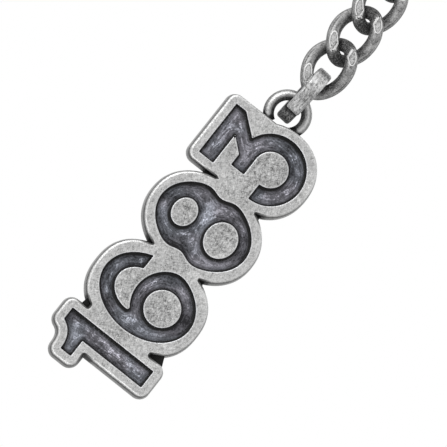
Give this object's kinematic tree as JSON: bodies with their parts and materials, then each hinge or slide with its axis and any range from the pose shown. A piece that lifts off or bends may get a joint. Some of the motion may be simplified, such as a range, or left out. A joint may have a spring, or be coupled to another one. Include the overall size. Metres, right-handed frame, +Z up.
{
  "type": "metal keyring",
  "caption": "Metal keyring: a cast fob of plain sunken figures on a jump ring, a twisted curb chain and a two-turn split ring.",
  "frame": {"origin": "inside the top of the split ring, where a hook or finger holds it", "axes": "+Z up along the hanging chain, -Y the way the figures face, +X towards the foot of the figures"},
  "size_m": [0.0226, 0.0226, 0.1156],
  "materials": {
    "split_ring": "bright nickel plate",
    "chain": "antiqued nickel plate with ground flats",
    "jump_ring": "brushed antiqued nickel plate",
    "fob": "tumbled antique pewter, dark in the recesses"
  },
  "bodies": {
    "split_ring": {"split_ring": "split_ring"},
    "chain_link_1": {"chain_link_1": "chain"},
    "chain_link_2": {"chain_link_2": "chain"},
    "chain_link_3": {"chain_link_3": "chain"},
    "chain_link_4": {"chain_link_4": "chain"},
    "chain_link_5": {"chain_link_5": "chain"},
    "jump_ring": {"jump_ring": "jump_ring"},
    "fob": {"fob": "fob"}
  },
  "joints": [
    {"name": "chain_slide_round_ring", "type": "hinge", "parent": "split_ring", "child": "chain_link_1", "pos_m": [0, 0, -0.013], "axis": [0.7071, -0.7071, 0], "range_deg": [-120, 120]},
    {"name": "link_2_swing", "type": "hinge", "parent": "chain_link_1", "child": "chain_link_2", "pos_m": [0, 0, -0.03167], "axis": [1, 0, 0], "range_deg": [-24, 24]},
    {"name": "link_3_swing", "type": "hinge", "parent": "chain_link_2", "child": "chain_link_3", "pos_m": [0, 0, -0.03797], "axis": [0, 1, 0], "range_deg": [-24, 24]},
    {"name": "link_4_swing", "type": "hinge", "parent": "chain_link_3", "child": "chain_link_4", "pos_m": [0, 0, -0.04427], "axis": [1, 0, 0], "range_deg": [-24, 24]},
    {"name": "link_5_swing", "type": "hinge", "parent": "chain_link_4", "child": "chain_link_5", "pos_m": [0, 0, -0.05057], "axis": [0, 1, 0], "range_deg": [-24, 24]},
    {"name": "jump_ring_turn", "type": "hinge", "parent": "chain_link_5", "child": "jump_ring", "pos_m": [-0.00024, 0, -0.05926], "axis": [0.9969, 0, -0.0785], "range_deg": [-45, 45]},
    {"name": "fob_swing", "type": "hinge", "parent": "jump_ring", "child": "fob", "pos_m": [-0.00052, 0, -0.06299], "axis": [0, 1, 0], "range_deg": [-60, 60]}
  ]
}
